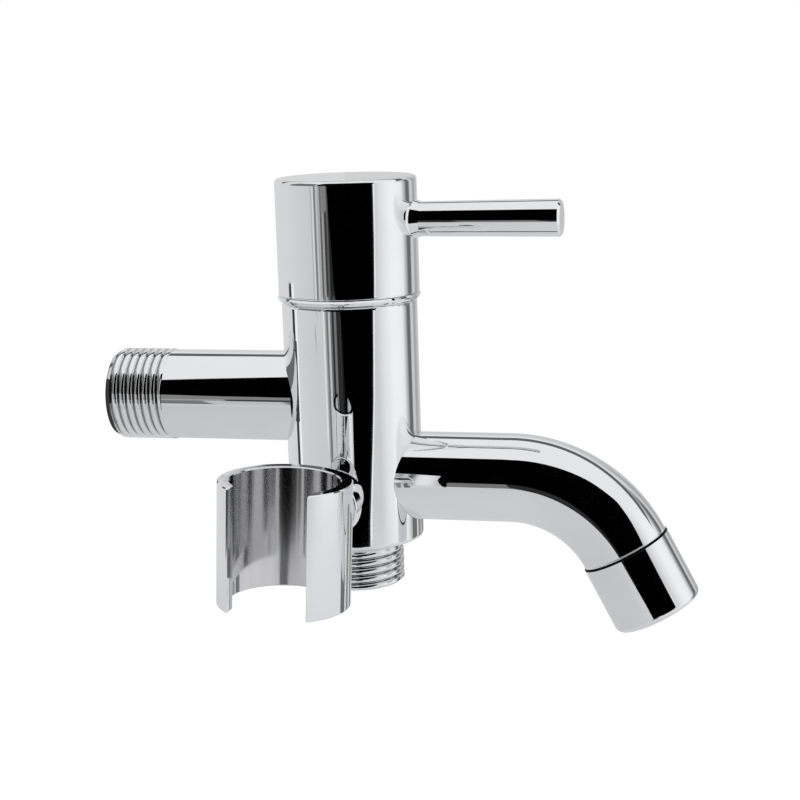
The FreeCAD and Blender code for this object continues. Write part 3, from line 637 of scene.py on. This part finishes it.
def turnChain(piece, steps, rise=0.0):
    screw = piece.modifiers.new("turn", 'SCREW')
    screw.axis = 'Z'
    screw.steps = steps
    screw.render_steps = steps
    screw.screw_offset = rise
    screw.use_merge_vertices = rise == 0.0
    screw.merge_threshold = shaping["turnMerge"]
    screw.use_normal_calculate = True
    applyModifiers(piece)
    mergeAndFaceOut(piece, shaping["doubles"])


def cutFlat(piece, height, keepAbove):
    enterEdit(piece, action='SELECT')
    bpy.ops.mesh.bisect(plane_co=(0, 0, height), plane_no=(0, 0, 1), use_fill=True,
                        clear_inner=keepAbove, clear_outer=not keepAbove, threshold=shaping["flatCut"])
    leaveEdit()


def combine(piece, other, operation):
    boolean = piece.modifiers.new("combine", 'BOOLEAN')
    boolean.operation = operation
    boolean.solver = 'EXACT'
    boolean.object = other
    applyModifiers(piece)
    bpy.data.objects.remove(other)


def lathe(name, points, steps=shaping["steps"]):
    piece = chainMesh(name, points)
    turnChain(piece, steps)
    return piece


def placePiece(piece):
    activate(piece)
    bpy.ops.object.transform_apply(location=True, rotation=True, scale=True)


def finishPiece(piece, matrix, finish, body, slot, *replaced):
    piece.data.transform(matrix)
    mergeAndFaceOut(piece, shaping["finalDoubles"])
    activate(piece)
    bpy.ops.object.shade_smooth_by_angle(angle=math.radians(shaping["smoothAngle"]))
    piece.data.materials.clear()
    piece.data.materials.append(materials[finish])
    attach(piece, body)
    if replaced:
        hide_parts(*replaced)


threadForm = {"pitch": 0.001814, "crestRadius": 0.01035, "depth": 0.00085, "turnsBelow": 2,
              "spareTurns": 3,
              # share of the pitch and share of the depth along one thread, rounded at crest and root
              "profile": [(0.00, 0.0), (0.10, 0.0), (0.15, 0.10), (0.30, 0.84), (0.35, 0.96), (0.40, 1.0),
                          (0.80, 1.0), (0.85, 0.96), (0.90, 0.84), (0.96, 0.30)],
              # the chamfer's envelope keeps this far off the crests, beyond this rise
              "envelopeGap": 0.0006, "envelopeRise": 0.0005}


def threadedRod(name, length):
    # a closed threaded bar along Z from 0 to length
    pitch, depth = threadForm["pitch"], threadForm["depth"]
    root = threadForm["crestRadius"] - depth
    points = []
    for turn in range(math.ceil(length / pitch) + threadForm["spareTurns"]):
        for share, lift in threadForm["profile"]:
            points.append((root + lift * depth, (turn + share - threadForm["turnsBelow"]) * pitch))
    piece = chainMesh(name, points)
    turnChain(piece, shaping["steps"], pitch)
    cutFlat(piece, 0.0, True)
    cutFlat(piece, length, False)
    return piece


def chamferedThread(name, length, endRadius, chamferLength, envelopeTop):
    # a threaded bar whose open end, at the foot, is chamfered
    crest = threadForm["crestRadius"]
    wide = crest + threadForm["envelopeGap"]
    piece = threadedRod(name, length)
    envelope = lathe(name + "Envelope", [(0.0, 0.0), (endRadius, 0.0), (crest, chamferLength),
                                         (wide, chamferLength + threadForm["envelopeRise"]),
                                         (wide, envelopeTop), (0.0, envelopeTop)])
    combine(piece, envelope, 'INTERSECT')
    return piece


inletPipe = {"radius": 0.01015, "bore": 0.0075, "boreChamfer": 0.0004, "boreFlare": 0.0014, "end": 0.0440,
             "endRadius": 0.0095, "chamferLength": 0.0016, "envelopeTop": 0.02, "threadEnd": 0.01355,
             "runOutStart": 0.0124, "runOutRadius": 0.00950, "runOutShort": 0.0003}


def makeInletPipe():
    v, past = inletPipe, shaping["past"]
    pipe = chamferedThread("inletPipe", v["threadEnd"], v["endRadius"], v["chamferLength"], v["envelopeTop"])
    shank = lathe("inletShank", [(0.0, v["runOutStart"]), (v["runOutRadius"], v["runOutStart"]),
                                 (v["radius"], v["threadEnd"] - v["runOutShort"]), (v["radius"], v["end"]),
                                 (0.0, v["end"])])
    combine(pipe, shank, 'UNION')
    bore = lathe("inletBore", [(0.0, -past), (v["bore"] + v["boreFlare"], -past), (v["bore"], v["boreChamfer"]),
                               (v["bore"], v["end"] + past), (0.0, v["end"] + past)])
    combine(pipe, bore, 'DIFFERENCE')
    # turned to point along +X
    finishPiece(pipe, Matrix.Rotation(math.radians(90), 4, 'Y'), "inletPlate", "tap", "chrome_plate", "inlet_tube")


hoseNipple = {"foot": (bodyAxis, 0.0, -0.0423), "endRadius": 0.0096, "chamferLength": 0.0007,
              "envelopeTop": 0.012, "threadTop": 0.0085, "collarRadius": 0.0102, "collar": (0.0076, 0.0092),
              "collarRound": 0.0003, "neckRadius": 0.0094, "neckTop": 0.0104, "spigotRadius": 0.0084,
              "top": 0.0140, "bore": 0.0060, "boreSteps": 96, "keyWidth": 0.0130, "keyDepth": 0.0070}


def makeHoseNipple():
    v, past = hoseNipple, shaping["past"]
    nipple = chamferedThread("outletNipple", v["threadTop"], v["endRadius"], v["chamferLength"], v["envelopeTop"])
    (low, high), r, e = v["collar"], v["collarRadius"], v["collarRound"]
    upper = lathe("nippleUpper", [(0.0, low), (r - e, low), (r, low + e), (r, high - e), (r - e, high),
                                  (v["neckRadius"], high), (v["neckRadius"], v["neckTop"]),
                                  (v["spigotRadius"], v["neckTop"]), (v["spigotRadius"], v["top"]),
                                  (0.0, v["top"])])
    combine(nipple, upper, 'UNION')
    bore = lathe("nippleBore", [(0.0, -past), (v["bore"], -past), (v["bore"], v["top"] + past),
                                (0.0, v["top"] + past)], v["boreSteps"])
    combine(nipple, bore, 'DIFFERENCE')
    # hexagon for the key, open at the foot
    bpy.ops.object.select_all(action='DESELECT')
    bpy.ops.mesh.primitive_cylinder_add(vertices=6, radius=v["keyWidth"] / math.sqrt(3),
                                        depth=v["keyDepth"] + past, location=(0, 0, (v["keyDepth"] - past) / 2))
    key = bpy.context.object
    placePiece(key)
    combine(nipple, key, 'DIFFERENCE')
    finishPiece(nipple, Matrix.Translation(v["foot"]), "threadPlate", "tap", "thread_plate", "outlet_nipple")


makeInletPipe()
makeHoseNipple()
print("threads cut")

# the ring between body and handle: two bevels that meet in a ridge
skirtRing = {"inside": 0.0100, "foot": 0.02215, "neck": 0.01500, "skirt": 0.02230, "lowRadius": 0.01546,
             "ridge": 0.01584, "ridgeHeight": 0.02298, "flat": 0.00003, "topRadius": 0.01547, "top": 0.02347}


def makeSkirtRing():
    v = skirtRing
    ring = lathe("skirtRing", [(v["inside"], v["foot"]), (v["neck"], v["foot"]), (v["neck"], v["skirt"]),
                               (v["lowRadius"], v["skirt"]), (v["ridge"], v["ridgeHeight"] - v["flat"]),
                               (v["ridge"], v["ridgeHeight"] + v["flat"]), (v["topRadius"], v["top"]),
                               (v["inside"], v["top"]), (v["inside"], v["foot"])])
    finishPiece(ring, Matrix.Translation((bodyAxis, 0.0, 0.0)), "chromePlate", "tap", "chrome_plate", "skirt_ring")


# rounded lower edge of the cap, and of the spout's end above the nozzle
beads = {
    "capEdge": {"place": (bodyAxis, 0.0, 0.02383), "lean": 0.0, "radius": 0.01538, "thickness": 0.00025,
                "body": "handle"},
    "spoutEdge": {"place": (0.11606, 0.0, -0.03269), "lean": 152.6, "radius": 0.00969, "thickness": 0.00021,
                  "body": "tap"},
}
beadSegments = {"major_segments": 192, "minor_segments": 16}


def makeBeads():
    for name, v in beads.items():
        bpy.ops.object.select_all(action='DESELECT')
        bpy.ops.mesh.primitive_torus_add(location=v["place"], rotation=(0, math.radians(v["lean"]), 0),
                                         major_radius=v["radius"], minor_radius=v["thickness"], **beadSegments)
        bead = bpy.context.object
        bead.name = name
        placePiece(bead)
        finishPiece(bead, Matrix.Identity(4), "chromePlate", v["body"], "chrome_plate")


makeSkirtRing()
makeBeads()
print("rings made")
